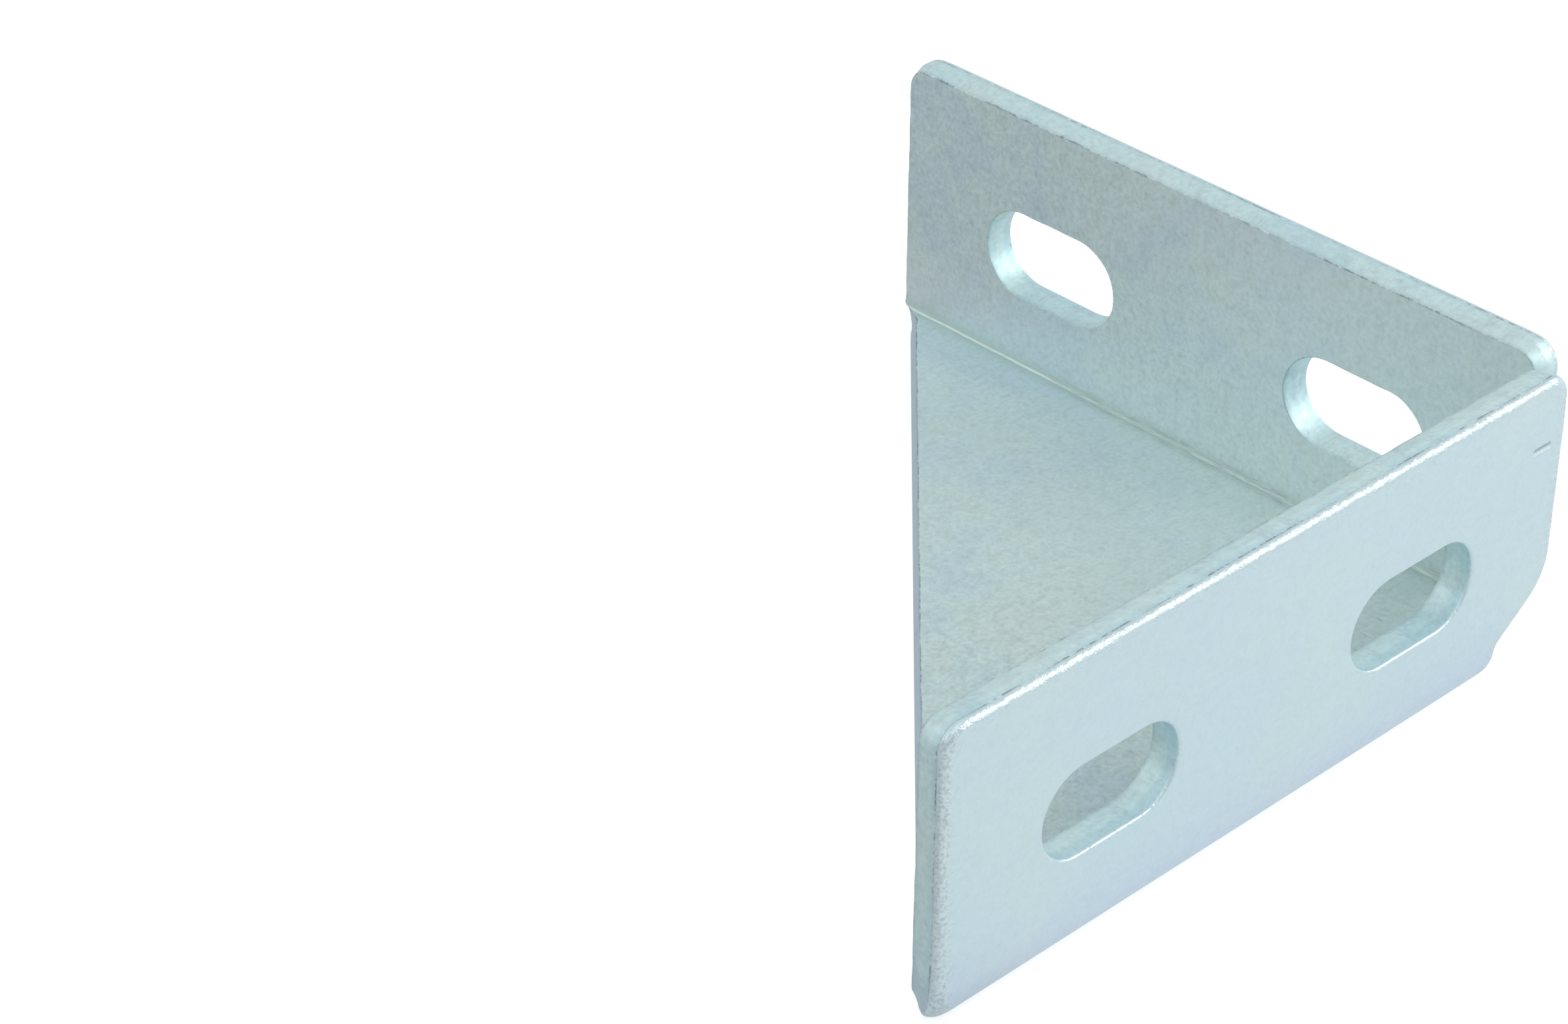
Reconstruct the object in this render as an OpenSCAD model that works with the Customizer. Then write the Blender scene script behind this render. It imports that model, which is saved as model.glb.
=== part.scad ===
// Gusseted angle bracket, cut and folded from one piece of sheet.
// A triangular web lies flat at the bottom, and a slotted flange stands up along each of its
// two square sides. The outer faces of the flanges would meet at a sharp edge, the heel.
// Both flanges stop short of it, and the blank is relieved there so that both folds are free.
// Shearing rolls the blank's outline over on one face, which is outside once it is folded.

/* [Sheet] */
// Thickness of the sheet
sheet_t = 4; // [3:0.5:6]
// Radius on the inside of each fold
inner_r = 2; // [1:0.5:5]
// Radius of the rolled edges round the outer faces
edge_roll = 1; // [0.2:0.1:1.4]

/* [Legs] */
// Length of each leg, from the heel to its free end
leg_l = 100; // [80:1:200]
// Height of the flanges over the underside of the web
flange_h = 38; // [30:1:80]
// Radius of the flanges' top corners
corner_r = 3; // [1.5:0.5:6]
// How far past the free ends the line of the web's cut edge crosses the outer faces
web_over = 2.4; // [0.5:0.1:4]

/* [Slots] */
// Width of a slot
slot_w = 11; // [5:0.5:14]
// Length of a slot, end to end
slot_l = 20; // [15:0.5:24]
// From the heel to the middle of the nearer slot
slot_near = 28.5; // [26:0.5:36]
// From the middle of the farther slot to the leg's free end
slot_end = 24.5; // [16:0.5:26]
// Height of the slots' middle over the underside of the web
slot_z = 19; // [16:0.5:21]

/* [Heel] */
// From the heel to the front flange's end
heel_gap = 4; // [1:0.5:8]
// Space between the front flange and the end of the side flange
heel_clear = 0.3; // [0.1:0.1:2]
// Length of the relief along the fold, from the heel
relief_l = 12; // [11:0.5:16]
// Rise of the relief toward the heel, for each unit along the leg
relief_rise = 0.75; // [0.5:0.05:1]
// Radius where the relief meets a flange's heel end
relief_r = 7; // [1.5:0.5:8]

/* [Hidden] */
$fn = 96;
// Radius on the outside of each fold
fold_r = inner_r + sheet_t;
// From the heel to the top of the side flange's end, which stands behind the front flange
side_gap = sheet_t + heel_clear;
// From the heel to where the line of the web's cut edge crosses the outer faces
cut_l = leg_l + web_over;

// An outline is a list of corners [x, y, radius], anticlockwise, all of them sticking out, and a
// list that holds 1 for each side with a rolled edge and 0 for each side where a fold goes on.
// Side i runs from corner i to the next one.

function spot(c, i) = let (k = (i + len(c)) % len(c)) [c[k].x, c[k].y];

// Unit vector along side i, and the one square to it that points into the outline
function along(c, i) = let (v = spot(c, i + 1) - spot(c, i)) v / norm(v);
function inward(c, i) = let (v = along(c, i)) [-v.y, v.x];

// Corner i moved in by p from the side before it and by q from the side after it
function moved(c, i, p, q) = let (
    m = inward(c, i - 1 + len(c)),
    n = inward(c, i)
) spot(c, i) + [p * n.y - q * m.y, q * m.x - p * n.x] / cross(m, n);

// Centre of the arc that rounds corner i, and the arc's ends with the outline moved in by d
function centre(c, i) = moved(c, i, c[i].z, c[i].z);
function arc_start(c, i, d) = centre(c, i) - inward(c, i - 1 + len(c)) * (c[i].z - d);
function arc_end(c, i, d) = centre(c, i) - inward(c, i) * (c[i].z - d);

// Points of the outline with its rolled sides moved in by d and its arcs left as chords
function chords(c, rolls, d) = [
    for (i = [0 : len(c) - 1])
        each c[i].z > 0
            ? [arc_start(c, i, d), arc_end(c, i, d)]
            : [moved(c, i, d * rolls[(i - 1 + len(c)) % len(c)], d * rolls[i])]
];

// The outline as a flat shape, with its rolled sides moved in by d
module outline(c, rolls, d) {
    polygon(chords(c, rolls, d));
    for (i = [0 : len(c) - 1])
        if (c[i].z > d)
            intersection() {
                translate(centre(c, i)) circle(c[i].z - d);
                sector(c, i);
            }
}

// Everything between the centre of corner i and the stretch of outline that its arc rounds
module sector(c, i) {
    polygon([centre(c, i), arc_start(c, i, 0), spot(c, i), arc_end(c, i, 0)]);
}

// Section of the sheet at a rolled edge, with the edge at x = 0 and the outer face at the top
module edge_section() {
    square([1.25 * edge_roll, sheet_t - edge_roll]);
    translate([edge_roll, 0]) square([0.25 * edge_roll, sheet_t]);
    translate([edge_roll, sheet_t - edge_roll]) intersection() {
        circle(edge_roll);
        translate([-edge_roll, 0]) square(edge_roll);
    }
}

// Rolled edge along a straight line from a to b, with the sheet on its left
module straight_edge(a, b) {
    v = b - a;
    translate(a) rotate(atan2(v.y, v.x)) rotate([90, 0, 90])
        linear_extrude(norm(v)) edge_section();
}

// Rolled edge round corner i
module corner_edge(c, i) {
    intersection() {
        translate(centre(c, i)) rotate_extrude()
            translate([c[i].z, 0]) mirror([1, 0]) edge_section();
        linear_extrude(sheet_t) sector(c, i);
    }
}

// Rolled edge along side i. Past a corner with no arc it runs on, by a round share of its length,
// and is cut off where the outline ends
module side_edge(c, i) {
    next = (i + 1) % len(c);
    v = spot(c, next) - spot(c, i);
    share = ceil(60 * edge_roll / norm(v)) / 20;
    intersection() {
        straight_edge(
            c[i].z > 0 ? arc_end(c, i, 0) : spot(c, i) - v * share,
            c[next].z > 0 ? arc_start(c, next, 0) : spot(c, next) + v * share
        );
        linear_extrude(sheet_t) polygon([for (k = [0 : len(c) - 1]) spot(c, k)]);
    }
}

// A flat stretch of sheet from z = 0 to its thickness, with its rolled edges at the top
module plate(c, rolls, holes = []) {
    linear_extrude(sheet_t) difference() {
        outline(c, rolls, edge_roll);
        for (h = holes) translate(h) slot(edge_roll);
    }
    for (i = [0 : len(c) - 1]) {
        if (rolls[i] > 0) side_edge(c, i);
        if (c[i].z > 0) corner_edge(c, i);
    }
    for (h = holes) translate(h) slot_edge();
}

// Slot with round ends, its middle at the origin, widened all round by d
module slot(d) {
    run = slot_l - slot_w;
    square([run, slot_w + 2 * d], center = true);
    for (x = [-run / 2, run / 2])
        translate([x, 0]) circle(slot_w / 2 + d);
}

// Rolled edge round a slot
module slot_edge() {
    run = slot_l - slot_w;
    for (a = [0, 180]) rotate(a) {
        straight_edge([-run / 2, slot_w / 2], [run / 2, slot_w / 2]);
        translate([run / 2, 0]) rotate(-90) rotate_extrude(angle = 180)
            translate([slot_w / 2, 0]) edge_section();
    }
}

// The upright part of a flange, over its fold: x runs from the heel along the leg, y up, and the
// outer face is at the top
module wall(gap) {
    plate(
        [
            [gap, flange_h, corner_r],
            [gap, fold_r + (relief_l - gap) * relief_rise, relief_r],
            [relief_l, fold_r, 0],
            [leg_l, fold_r, 0],
            [leg_l, flange_h, corner_r]
        ],
        [1, 1, 0, 1, 1],
        [[slot_near, slot_z], [leg_l - slot_end, slot_z]]
    );
}

// Quarter turn of sheet that joins a flange to the web, turned about the z axis, with both of its
// ends rolled over at the outside
module fold() {
    middle = (relief_l + leg_l) / 2;
    rotate_extrude(angle = 90)
        for (flip = [0, 1])
            translate([inner_r, middle]) mirror([0, flip]) translate([0, leg_l - middle])
                rotate(-90) fold_half(leg_l - middle);
}

// Half of the fold's section, with its rolled end at x = 0 and the outer face at the top
module fold_half(run) {
    edge_section();
    translate([edge_roll, 0]) square([run - edge_roll, sheet_t]);
}

// One flange with its fold, standing along the x axis with its outer face at y = 0. The fold's
// free end is cut off from the end of the web's cut edge to the inner corner of the flange's end
module flange(gap) {
    translate([0, sheet_t, 0]) rotate([90, 0, 0]) wall(gap);
    intersection() {
        translate([0, fold_r, fold_r]) rotate([90, 0, 90]) rotate(180) fold();
        linear_extrude(fold_r) polygon([
            [0, 0],
            [leg_l, 0],
            [leg_l, sheet_t],
            [cut_l - fold_r, fold_r],
            [0, fold_r]
        ]);
    }
}

// The flat web between the folds. Its rolled face is its underside
module web() {
    translate([0, 0, sheet_t]) mirror([0, 0, 1])
        plate(
            [
                [relief_l, fold_r, 0],
                [cut_l - fold_r, fold_r, 0],
                [fold_r, cut_l - fold_r, 0],
                [fold_r, relief_l, 0]
            ],
            [0, 1, 0, 0]
        );
}

// The bracket, resting on its web, with the middle of the square that it spans at the origin and
// its heel at the front right corner
module bracket() {
    color("#b4cbd2") translate([leg_l / 2, -leg_l / 2, 0]) mirror([1, 0, 0]) {
        web();
        flange(heel_gap);
        mirror([1, -1, 0]) flange(side_gap);
    }
}

bracket();
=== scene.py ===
"""Gusseted angle bracket: one sheet, cut flat, folded twice and zinc plated, in a plain studio.

Laid out as an add-on and run as a script. Sizes in the panel are in metres; the sheet is worked
out in millimetres on the flat blank and folded by one formula.
"""

import math
from types import SimpleNamespace

import bmesh
import bpy
import numpy as np
from bpy.props import FloatProperty, FloatVectorProperty, PointerProperty
from mathutils import Matrix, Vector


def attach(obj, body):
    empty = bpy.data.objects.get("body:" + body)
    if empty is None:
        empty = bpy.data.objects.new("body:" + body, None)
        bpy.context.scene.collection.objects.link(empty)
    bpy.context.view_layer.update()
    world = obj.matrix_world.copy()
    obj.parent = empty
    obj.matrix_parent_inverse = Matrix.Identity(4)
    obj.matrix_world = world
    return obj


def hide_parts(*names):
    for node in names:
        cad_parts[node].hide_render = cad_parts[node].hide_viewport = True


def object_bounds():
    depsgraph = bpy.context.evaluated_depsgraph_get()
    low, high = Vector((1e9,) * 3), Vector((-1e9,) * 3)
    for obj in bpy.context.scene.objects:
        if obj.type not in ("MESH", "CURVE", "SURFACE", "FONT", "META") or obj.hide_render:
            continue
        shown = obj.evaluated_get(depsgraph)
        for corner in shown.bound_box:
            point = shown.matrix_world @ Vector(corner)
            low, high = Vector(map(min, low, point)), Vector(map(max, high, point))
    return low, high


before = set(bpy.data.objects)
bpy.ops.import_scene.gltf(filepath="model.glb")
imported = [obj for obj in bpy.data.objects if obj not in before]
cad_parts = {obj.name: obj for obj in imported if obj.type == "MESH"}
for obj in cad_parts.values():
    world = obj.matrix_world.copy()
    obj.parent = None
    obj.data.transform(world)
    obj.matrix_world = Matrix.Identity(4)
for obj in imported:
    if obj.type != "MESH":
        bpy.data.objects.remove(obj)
CAD_BOX = [[round(c, 6) for c in corner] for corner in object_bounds()]
LEG = CAD_BOX[1][0] - CAD_BOX[0][0]
HEIGHT = CAD_BOX[1][2] - CAD_BOX[0][2]

bl_info = {
    "name": "Gusseted angle bracket",
    "version": (1, 0, 0),
    "blender": (4, 5, 0),
    "location": "3D View > Sidebar > Bracket",
    "description": "Folds a slotted angle bracket from a flat blank, plates it and lights it",
    "category": "Add Mesh",
}

# How far in a face's grid starts, in millimetres: from the outline, a torn edge and a slot's roll
FACE_START, INNER_START, RIM_START = 2.75, 0.45, 0.3
# Millimetres that a slot's box reaches past it, and that the outer columns lean in by the fold
BOX_MARGIN, FOOT_LEAN = 3, 3
# Steps across a flange's columns, from the heel, and up its rows, from the fold's foot
COLUMNS, ROWS = (11, 26, 18, 26, 11), (30, 14, 9)
# Steps round a small corner, round an eighth of a turn at a slot's end, round a fold's end, along
# half of the web's ends, and from a slot to its box
ARC, EIGHTH, BEND, WEB, RING = 4, 6, 12, 40, 5
# Millimetres that a seed of one moves an edge's pattern, that the other leg's pattern is moved,
# and that make one unit of a pattern
EDGE_SHIFT, LEG_SHIFT, PATTERN_UNIT = 7, 37.0, 100
# Points that lie closer than this, in metres, are one point
WELD = 2e-6

# The camera: its focal length and picture width in pixels, its sensor's width in millimetres,
# its turn in degrees, the place it was turned about, in metres from the heel, and how far it
# stands from there along its own right, up and back
FOCAL_PIXELS, PICTURE_PIXELS, SENSOR = 6291.6, 2380, 36
CAMERA_TURN = (-44.007, 33.057, 0.319)
CAMERA_PIVOT = (-0.030, 0.030, 0.010)
CAMERA_SHIFT = (-0.044557, 0.006282, 0.460)
# Each lamp's place, what it faces and its width, in metres
LAMPS = {"key": ((0.54, -0.50, 0.52), (0, 0, 0.02), 0.5),
         "fill": ((-0.50, 0.54, 0.52), (0, 0, 0.02), 0.35),
         "corner": ((-0.33, -0.31, 0.60), (-0.05, -0.05, 0.03), 0.2)}
# How far the floor reaches, and how far it lies under the bracket, in metres
FLOOR_REACH, FLOOR_DROP = 3, 0.00002


# Sizes and colours a user would change


def length(name, description, default):
    """A length in metres, shown in the scene's units."""
    return FloatProperty(name=name, description=description, default=default, min=0.0,
                         precision=5, subtype="DISTANCE", unit="LENGTH")


def colour(name, description, default):
    """A colour given as linear red, green and blue."""
    return FloatVectorProperty(name=name, description=description, default=default, size=3,
                               min=0.0, max=1.0, subtype="COLOR")


def number(name, description, default, low=0.0, **options):
    """A plain number."""
    return FloatProperty(name=name, description=description, default=default, min=low, **options)


def share(name, description, default):
    """A plain number from 0 to 1."""
    return number(name, description, default, max=1.0, subtype="FACTOR")


def power(name, description, default):
    """A lamp's power in watts."""
    return number(name, description, default, subtype="POWER", unit="POWER")


class BracketSheet(bpy.types.PropertyGroup):
    """Sizes of the folded sheet"""

    leg: length("Leg", "Length of each leg, from the heel to its free end", LEG)
    height: length("Height", "Height of the flanges over the underside of the web", HEIGHT)
    thickness: length("Thickness", "Thickness of the sheet", 0.004)
    inside: length("Inside radius", "Radius on the inside of each fold", 0.002)
    corner: length("Corner radius", "Radius of the flanges' top corners", 0.003)
    slot_width: length("Slot width", "Width of a slot", 0.011)
    slot_length: length("Slot length", "Length of a slot, end to end", 0.020)
    slot_near: length("Nearer slot", "From the heel to the middle of the nearer slot", 0.0285)
    slot_end: length("Farther slot", "From the farther slot's middle to the free end", 0.0245)
    slot_rise: length("Slot height", "Height of the slots' middle over the web's underside", 0.019)
    front_gap: length("Front gap", "From the heel to the front flange's end", 0.004)
    side_gap: length("Side gap", "From the heel to the side flange's end", 0.0043)
    relief: length("Relief", "Length of the relief along the fold, from the heel", 0.012)
    relief_rise: share("Relief rise", "Rise of the relief for each unit along the leg", 0.75)
    relief_round: length("Relief radius", "Radius where the relief meets the heel end", 0.007)
    front_foot: length("Front foot", "Radius where the diagonal cut meets the front leg's end",
                       0.006)
    side_foot: length("Side foot", "Radius where the diagonal cut meets the side leg's end", 0.003)
    front_swell: number("Front swell", "How many of its widths the roll gains at the front foot",
                        1.6)
    side_swell: number("Side swell", "How many of its widths the roll gains at the side foot", 0.4)
    gusset: length("Gusset", "From the heel to where the diagonal cut meets each leg's line, "
                   "measured on the flat blank", 0.1024)
    roll_width: length("Rolled edge", "How far in from the edge the outer face rolls over", 0.0009)
    roll_depth: length("Roll depth", "How far down the edge the roll ends", 0.0008)
    roll_slot: length("Rolled slot edge", "How far a slot's edge rolls over", 0.0004)
    torn: length("Torn edge", "How far the torn part of the cut leans in at the inner face",
                 0.0006)
    torn_slot: length("Torn slot edge", "How far a slot widens toward the inner face", 0.00028)


class BracketFinish(bpy.types.PropertyGroup):
    """Colours and gloss of the plating, and of the painted light and shade on it"""

    zinc: colour("Outside", "Colour of the plated outer faces", (0.635, 0.795, 0.855))
    inside: colour("Inside", "Colour of the plated inner faces", (0.675, 0.825, 0.835))
    green: colour("Green film", "Colour where the passivated film is thick", (0.690, 0.830, 0.805))
    blue: colour("Blue film", "Colour where the passivated film is thin", (0.630, 0.790, 0.850))
    # Painted light: this colour lightens the inner faces deep in the corner by the side flange
    pale: colour("Corner light", "Painted light deep in the corner by the side flange",
                 (0.84, 0.94, 0.96))
    # Painted shade: this colour darkens each fold off its crease
    fold: colour("Fold shade", "Colour of the painted shade inside the folds", (0.50, 0.67, 0.64))
    # Painted reflection: this colour makes the outer faces bluer and darker low down, mirroring
    # the floor's shade
    base: colour("Foot reflection", "Colour of the outer faces low down, by the folds", (0.610, 0.730, 0.870))
    cut: colour("Cut edge", "Colour of the plating on the sheared edges", (0.665, 0.850, 0.870))
    teal: colour("Cut edge film", "Colour of the film in patches on the sheared edges",
                 (0.52, 0.75, 0.825))
    # Painted shade: this colour darkens the web's diagonal cut edge
    diagonal: colour("Diagonal shade", "Colour of the painted shade on the diagonal cut edge of the web",
                     (0.50, 0.62, 0.72))
    # Also painted highlight: this colour whitens the rolled edges and each fold's crease, besides
    # rubbed plating
    worn: colour("Rolled edge", "Colour of the rubbed plating on the rolled edges, and of painted highlights",
                 (0.77, 0.90, 0.93))
    # These dark specks also serve as painted shade: by the front flange and beside each fold's
    # crease
    soil: colour("Soil", "Colour of the fine dark specks and of painted shade", (0.20, 0.26, 0.28))
    gloss: share("Roughness", "Roughness of the plated faces", 0.44)


class BracketStudio(bpy.types.PropertyGroup):
    """Light, floor and camera"""

    sky: number("Sky", "Strength of the soft light all round", 0.62)
    key: power("Key lamp", "Power of the large lamp in front of the front flange", 3.8)
    fill: power("Fill lamp", "Power of the smaller lamp at the free ends", 0.6)
    corner: power("Corner lamp", "Power of the small lamp high up at the left", 0.5)
    floor: colour("Floor", "Colour of the floor", (0.92, 0.92, 0.92))
    lens: number("Lens", "Focal length of the camera", FOCAL_PIXELS / PICTURE_PIXELS * SENSOR,
                 low=1.0, subtype="DISTANCE_CAMERA")


# The blank, flat: u runs along the front leg and v along the side leg, both from the heel, and
# both go on past the folds. Depth is 0 on the outer face and the thickness on the inner face.


def blank_sizes(sheet):
    """The panel's sizes in millimetres, and what follows from them. A hold is how far in from its
    edge a face's grid starts."""
    plain = ("relief_rise", "front_swell", "side_swell")
    s = SimpleNamespace(**{n: getattr(sheet, n) * (1 if n in plain else 1000)
                           for n in sheet.__annotations__})
    s.fold = s.inside + s.thickness
    s.middle = s.inside + s.thickness / 2
    s.bend = s.middle * math.pi / 2
    s.hold, s.hold_inner = FACE_START, s.torn + INNER_START
    s.hold_slot, s.hold_slot_inner = s.roll_slot + RIM_START, s.torn_slot + INNER_START
    return s


def flat(s, height):
    """Where a height up the flange lies on the flat blank."""
    return 2 * s.fold - s.bend - height


def unit(v):
    """The direction of a vector."""
    return v / math.hypot(*v)


def line(a, b, steps):
    """Points evenly along a straight line from a to b, with the direction on its left."""
    a, b = np.array(a, float), np.array(b, float)
    along = unit(b - a)
    t = np.linspace(0, 1, steps + 1)[:, None]
    return a + (b - a) * t, np.tile([-along[1], along[0]], (steps + 1, 1))


def corner(before, at, after, radius):
    """The arc that rounds a corner: its centre, the direction on its left at its start, the
    angle it turns through, and its two ends. The arc touches both sides, so its ends lie the
    radius times the tangent of half the turn from the corner."""
    before, at, after = (np.array(p, float) for p in (before, at, after))
    e, f = unit(at - before), unit(after - at)
    turn = math.atan2(e[0] * f[1] - e[1] * f[0], e @ f)
    back = radius * math.tan(abs(turn) / 2)
    left = np.array([-e[1], e[0]])
    side = math.copysign(1, turn)
    centre = at - e * back + side * radius * left
    return SimpleNamespace(centre=centre, left=left, turn=turn, side=side, radius=radius,
                           start=at - e * back, end=at + f * back)


def arc(c, steps, first=0.0, last=1.0):
    """Points evenly along a share of a corner's arc. The direction on the left turns evenly, and
    a point is the centre less that direction times the radius, or plus it where the corner
    points into the sheet."""
    a = np.linspace(first, last, steps + 1)[:, None] * c.turn
    x, y = c.left
    left = np.hstack([x * np.cos(a) - y * np.sin(a), x * np.sin(a) + y * np.cos(a)])
    return c.centre - c.side * c.radius * left, left


def joined(parts):
    """Runs laid end to end, each starting where the last one stopped. Gives the points, the
    directions on their left, the distance run, and the number of each run's first point."""
    points = np.vstack([p[:-1] for p, _ in parts] + [parts[-1][0][-1:]])
    left = np.vstack([n[:-1] for _, n in parts] + [parts[-1][1][-1:]])
    run = np.concatenate([[0], np.cumsum(np.hypot(*np.diff(points, axis=0).T))])
    marks = np.concatenate([[0], np.cumsum([len(p) - 1 for p, _ in parts])])
    return points, left, run, marks


def leg_outline(s, gap, foot_round, foot_swell, columns, low, high):
    """Outline of one leg's half of the blank, the sheet on its left: from the middle of the heel
    cut, round the relief, up the heel end, along the top, down the free end and to the middle of
    the diagonal cut. Gives the points, the directions on their left, the distance run, how much
    the roll swells, which falls off round each outward corner as the bell of the distance over
    its reach, and the numbers of the points where patches meet."""
    top, foot = flat(s, s.height), flat(s, s.fold)
    heel_cut = (s.relief + s.fold) / 2
    k = [(heel_cut, heel_cut), (s.relief, s.fold), (s.relief, foot),
         (gap, flat(s, s.fold + (s.relief - gap) * s.relief_rise)), (gap, top), (s.leg, top),
         (s.leg, s.gusset - s.leg), (s.gusset / 2, s.gusset / 2)]
    radii = [0, 1.0, 1.0, s.relief_round, s.corner, s.corner, foot_round]
    c = [corner(k[i - 1], k[i], k[i + 1], r) if r else None for i, r in enumerate(radii)]
    step = (s.hold + s.hold_inner) / 2 * math.sqrt(0.5)
    meet = (s.gusset - s.fold - step, s.fold + step)
    steps = (COLUMNS[0] - ARC, *COLUMNS[1:4], COLUMNS[4] - ARC)
    edge = [c[4].end, *[(u, top) for u in columns], c[5].start]
    parts = [
        line(k[0], c[1].start, WEB - ARC), arc(c[1], ARC),
        line(c[1].end, c[2].start, BEND), arc(c[2], ARC),
        line(c[2].end, c[3].start, ROWS[0] - BEND - 3 * ARC), arc(c[3], 2 * ARC),
        line(c[3].end, (gap, high), ROWS[1]),
        line((gap, high), c[4].start, ROWS[2] - ARC), arc(c[4], ARC, 0, 0.5),
        arc(c[4], ARC, 0.5, 1), *[line(edge[i], edge[i + 1], steps[i]) for i in range(5)],
        arc(c[5], ARC, 0, 0.5),
        arc(c[5], ARC, 0.5, 1), line(c[5].end, (s.leg, high), ROWS[2] - ARC),
        line((s.leg, high), (s.leg, low), ROWS[1]),
        line((s.leg, low), c[6].start, ROWS[0] - BEND - ARC), arc(c[6], ARC),
        line(c[6].end, meet, BEND), line(meet, k[7], WEB),
    ]
    points, left, run, marks = joined(parts)
    meeting = marks[[0, 2, 6, 7, 9, 11, 12, 13, 14, 16, 18, 19, 22, 23]]
    foot_in = 1.4
    swells = ((0.7, k[4], 3.0), (0.7, k[5], 3.0),
              (foot_swell, (s.leg - foot_in, s.gusset - s.leg + foot_in), 4.5))
    swell = sum(amount * np.exp(-((points - at) ** 2).sum(1) / reach ** 2)
                for amount, at, reach in swells)
    return points, left, run, swell, meeting


def slot_outline(s, u, v):
    """Outline of a slot, the sheet on its left, starting toward the box's first corner. Round
    each end a point is the end's middle plus the radius times the direction."""
    r, half = s.slot_width / 2, (s.slot_length - s.slot_width) / 2

    def end(side, first, last, steps):
        a = np.radians(np.linspace(first, last, steps + 1))
        left = np.stack([np.cos(a), np.sin(a)], 1)
        return np.array([u + side * half, v]) + r * left, left

    straight = COLUMNS[1] - 2 * EIGHTH
    parts = [end(-1, 135, 90, EIGHTH), line((u - half, v + r), (u + half, v + r), straight),
             end(1, 90, 45, EIGHTH), end(1, 45, -45, ROWS[1]), end(1, -45, -90, EIGHTH),
             line((u + half, v - r), (u - half, v - r), straight), end(-1, -90, -135, EIGHTH),
             end(-1, -135, -225, ROWS[1])]
    return joined(parts)[:3]


def waver(run, seed):
    """Uneven line: five sines of different length and height added up, each shifted by an amount
    that follows from the seed. It dies out in a smooth step at both ends of the run."""
    waves = np.array([2.9, 4.3, 6.1, 10.7, 23.0])
    tall = np.array([0.25, 0.3, 0.35, 0.4, 0.3])
    fade = 3
    turn = np.sin(np.arange(5) * 12.9898 + seed * 78.233) * math.pi
    w = (np.sin(run[:, None] * 2 * math.pi / waves + turn) * tall).sum(1)
    ends = np.clip(np.minimum(run, run[-1] - run) / fade, 0, 1)
    return w * ends * ends * (3 - 2 * ends)


def edge_section(s, roll, depth, torn, hold, hold_inner):
    """Section of the sheet at a cut edge, from the outer face over the edge to the inner face:
    how far in from the outline and how deep each point lies, how rolled and how sheared it is,
    how far it moves in where the roll wavers and where the tear wavers, whether a fine line lies
    there, and how far it sinks where the roll swells. The roll is a quarter of an ellipse, then
    comes the smooth sheared band, then the torn band that leans in, and a small burr."""
    t, sink = s.thickness, 0.3
    face_rows = [(hold, 0, 0, 0, 0, 0, 0, 0), ((hold + roll) / 2, 0, 0.25, 0, 0.5 * roll, 0, 0, 0)]
    roll_rows = [(roll * (1 - math.sin(x)), depth * (1 - math.cos(x)),
                  min(1, 0.6 + 0.8 * math.sin(2 * x)), 0, roll * (1 - math.sin(x)), 0, 0,
                  sink * (1 - math.cos(x))) for x in np.linspace(0, math.pi / 2, 8)]
    smooth_rows = [(0.0, depth + 0.08, 0.3, 0.6, 0, 0, 1, sink),
                   (0.0, depth + 0.24, 0, 1, 0, 0, 0.9, sink),
                   (0.0, depth + 0.34, 0, 1, 0, 0, 0, sink),
                   (0.0, 1.7, 0, 1, 0, 0, 0, 0), (0.0, 2.1, 0, 1, 0, 0.1, 0, 0)]
    torn_rows = [(torn * 0.12, 2.35, 0, 1, 0, 0.5, 0, 0), (torn * 0.36, 2.8, 0, 1, 0, 0.8, 0, 0),
                 (torn * 0.62, 3.25, 0, 1, 0, 1, 0, 0), (torn * 0.85, 3.65, 0, 1, 0, 1, 0, 0),
                 (torn * 0.96, t - 0.12, 0, 1, 0, 1, 0.8, 0)]
    burr_rows = [(torn + 0.02, t - 0.03, 0, 0.8, 0, 1, 1, 0), (torn + 0.10, t, 0, 0.3, 0, 1, 1, 0),
                 (torn + 0.24, t, 0, 0, 0, 0.4, 0.1, 0), (hold_inner, t, 0, 0, 0, 0, 0, 0)]
    return np.array(face_rows + roll_rows + smooth_rows + torn_rows + burr_rows).T


def edge_band(s, points, left, run, section, seed, closed=False, swell=0.0):
    """The section carried along an outline: each point moves in along the direction on its left
    by the section's distance, which wavers along the run. The roll is a fifth narrower than its
    set width, and 0.45 times that width is added by the square of the direction's share along the
    leg, so it is wider, and rougher, on edges that stand square to the leg. It is wider
    and deeper still where it swells. Round a closed outline the wavering is whole waves."""
    inset, depth, rolled, sheared, roll_move, torn_move, seam, sink = section
    if closed:
        turn = run / run[-1] * 2 * math.pi
        sway = 0.5 * np.sin(3 * turn + seed) + 0.35 * np.sin(7 * turn + 2 * seed)
        tear = 0.5 * np.sin(5 * turn + 3 * seed) + 0.4 * np.sin(11 * turn + seed)
    else:
        sway, tear = waver(run, seed), waver(run, seed + 5)
    square = left[:, :1] ** 2
    swell = np.broadcast_to(swell, len(run))[:, None]
    d = inset + (0.45 * square - 0.2 + 0.07 * sway[:, None] + swell) * roll_move
    d = np.maximum(d + 0.05 * torn_move * tear[:, None], 0)
    grid = points[:, None, :] + left[:, None, :] * d[..., None]
    down = np.concatenate([[0], np.cumsum(np.hypot(np.diff(inset), np.diff(depth)))])
    return Patch(np.dstack([grid, depth + swell * sink]),
                 np.stack(np.broadcast_arrays(run[:, None] + seed * EDGE_SHIFT, down), -1),
                 rolled * (0.6 + 0.4 * square), sheared, depth / s.thickness, seam)


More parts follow.
